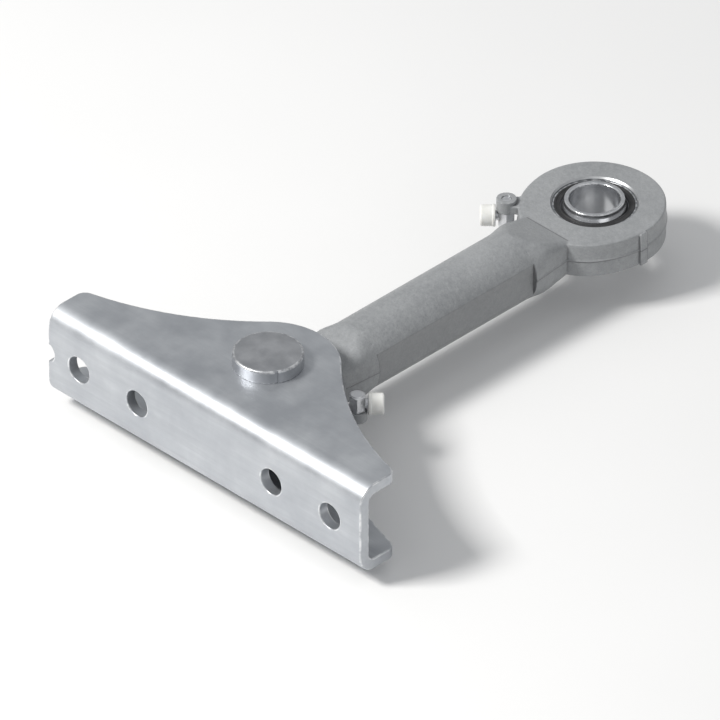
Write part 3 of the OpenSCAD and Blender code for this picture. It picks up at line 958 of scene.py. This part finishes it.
def dust_cap():
    """Push-on cap: a thin cup with a bead at its mouth and a rounded end, along x."""
    bore, lip, wall = 3.35, 2.8, 1.6
    bead_l, bead_h, chamfer, crown_r = 1.3, 0.3, 0.4, CAP_R - 2.2
    end = CAP_L - wall
    side = CAP_R - bead_h
    profile = [(0, end, 0), (bore, end, 0.3), (bore, 1.5, 0.3), (lip, 1.0, 0.3),
               (lip, 0, 0.2), (CAP_R - chamfer, 0, 0.3), (CAP_R, chamfer, 0.3), (CAP_R, bead_l, 0.3),
               (side, bead_l + chamfer, 0.3), (side, CAP_L - 0.1, 1.1), (crown_r, CAP_L, 0.5),
               (0, CAP_L, 0)]
    bm = lathe(rounded(profile, 5, 0.2), 96)
    place(bm, Matrix.Rotation(math.pi / 2, 4, "Y"))
    return moved(bm, x=CAP_IN)


# ---- build ----

def ring_on_pin(node, bore, edge, material):
    """A flat ring round the pin, as wide and as thick as its CAD node."""
    a, b = low(node), high(node)
    finish_piece(node, moved(ring(bore, b.x, a.z, b.z, edge), y=PIN.y), material)


def build():
    """Every piece, in its place and with its finish."""
    zinc = zinc_plate()
    pin_steel = turned_steel("pin_steel", PIN, (0.52, 0.53, 0.55), (0.40, 0.41, 0.43), 0.38, depth=0.003)
    hardware = turned_steel("hardware", PIN, (0.70, 0.71, 0.73), (0.58, 0.59, 0.61), 0.34, 0.25)
    fine = {"radian": 0.15, "depth": 0.003}
    rear_bearing = turned_steel("rear_bearing", PIN, (0.62, 0.63, 0.65), (0.52, 0.53, 0.55), 0.22, **fine)
    front_bearing = turned_steel("front_bearing", EYE, (0.66, 0.67, 0.69), (0.54, 0.55, 0.57), 0.22, **fine)
    race_steel = turned_steel("race_steel", EYE, (0.30, 0.31, 0.33), (0.22, 0.23, 0.25), 0.40, **fine)
    coat = cast_coat()
    bare = machined_face()
    spring = black_spring()
    bronze = sintered_bronze()
    rubber = seal_rubber()
    plastic = natural_plastic()

    finish_piece("gate_bracket", bracket(), zinc)
    finish_piece("pivot_pin", pin(), pin_steel, tools=[pin_mark()], sharp=40)
    ring_on_pin("pin_washer", 12.58, 0.5, hardware)
    finish_piece("pin_retaining_ring", retaining_ring(), spring)
    for node, material in (("upper_spacer", hardware), ("lower_spacer", hardware),
                           ("upper_thrust_washer", bronze), ("lower_thrust_washer", bronze)):
        ring_on_pin(node, 12.6, 0.25, material)

    for end, y, steel in (("rear", PIN.y, rear_bearing), ("front", EYE.y, front_bearing)):
        finish_piece(end + "_ball", moved(ball(), y=y), steel)
        finish_piece(end + "_race", moved(race(), y=y), race_steel)
        finish_piece(end + "_upper_seal", moved(seal(), y=y), rubber)
        flipped = place(seal(), Matrix.Diagonal((1, 1, -1, 1)))
        finish_piece(end + "_lower_seal", moved(flipped, y=y), rubber)
        front = end == "front"
        body = joined(nipple_body(front), nipple_head())
        finish_piece(end + "_grease_nipple", at_fitting(body, y, front), hardware, sharp=35)
        finish_piece(end + "_nipple_cap", at_fitting(dust_cap(), y, front), plastic)

    finish_piece("arm_casting", arm_blank(), coat, tools=[bore_tool(PIN.y, False), bore_tool(EYE.y, True)],
                 tool_material=bare, sharp=38)


def area_light(name, place_at, aim, size, power, colour=(1, 1, 1)):
    """A soft light that shines from place_at towards aim."""
    data = bpy.data.lights.new(name, "AREA")
    data.shape = "RECTANGLE"
    data.size, data.size_y = size
    data.energy = power
    data.color = colour
    light = bpy.data.objects.new(name, data)
    bpy.context.scene.collection.objects.link(light)
    light.location = place_at
    light.rotation_euler = (Vector(aim) - Vector(place_at)).to_track_quat("-Z", "Y").to_euler()


def floor_sheet(middle):
    """A pale floor just under the part."""
    below = 0.0002
    bm = bmesh.new()
    bmesh.ops.create_grid(bm, x_segments=4, y_segments=4, size=6)
    mesh = bpy.data.meshes.new("floor")
    bm.to_mesh(mesh)
    bm.free()
    floor = bpy.data.objects.new("floor", mesh)
    bpy.context.scene.collection.objects.link(floor)
    floor.location = (middle.x, middle.y, CAD_BOX[0][2] - below)
    g = Graph("floor")
    g.set(base_color=g.mix(g.span(g.noise(3, 3), 0.3, 0.7), (0.84, 0.84, 0.84), (0.87, 0.87, 0.87)),
          roughness=0.75, specular_ior_level=0.2)
    mesh.materials.append(g.material)


def soft_world():
    """A soft white sky that is darker towards the ground."""
    world = bpy.data.worlds.new("studio")
    bpy.context.scene.world = world
    world.use_nodes = True
    tree = world.node_tree
    sky = tree.nodes["Background"]
    sky.inputs["Strength"].default_value = 0.52
    where = tree.nodes.new("ShaderNodeTexCoord")
    split = tree.nodes.new("ShaderNodeSeparateXYZ")
    ramp = tree.nodes.new("ShaderNodeValToRGB")
    tree.links.new(where.outputs["Generated"], split.inputs[0])
    tree.links.new(split.outputs["Z"], ramp.inputs["Fac"])
    tree.links.new(ramp.outputs["Color"], sky.inputs["Color"])
    stops = [(0.0, 0.30), (0.25, 0.62), (0.55, 0.95), (1.0, 1.15)]    # height and brightness
    while len(ramp.color_ramp.elements) < len(stops):
        ramp.color_ramp.elements.new(0.5)
    for element, (at, level) in zip(ramp.color_ramp.elements, stops):
        element.position = at
        element.color = (level * 0.97, level * 0.985, level, 1)


def isometric_camera():
    """A long lens from far away: the view is isometric, 45 degrees round and 35.26 degrees up."""
    aim = Vector((4.4, 102.4, 0)) * MM
    away = Vector((1, -1, 1)).normalized()
    frame_width = 0.3492
    data = bpy.data.cameras.new("camera")
    data.lens = 1200
    data.sensor_width = 36
    data.clip_start = 0.5
    data.clip_end = 100
    camera = bpy.data.objects.new("camera", data)
    bpy.context.scene.collection.objects.link(camera)
    camera.location = aim + away * (frame_width * data.lens / data.sensor_width)
    camera.rotation_euler = (-away).to_track_quat("-Z", "Y").to_euler()
    bpy.context.scene.camera = camera


def studio():
    """Floor, world, a key and a fill light, camera and plain colours."""
    middle = (Vector(CAD_BOX[0]) + Vector(CAD_BOX[1])) / 2
    floor_sheet(middle)
    soft_world()
    area_light("key", (-0.55, -1.0, 1.35), middle, size=(0.45, 0.45), power=31, colour=(1.0, 0.985, 0.96))
    area_light("fill", (1.5, -0.1, 0.6), middle, size=(0.9, 0.5), power=1.5)
    isometric_camera()
    view = bpy.context.scene.view_settings
    view.view_transform = "Standard"
    view.look = "None"


build()
studio()
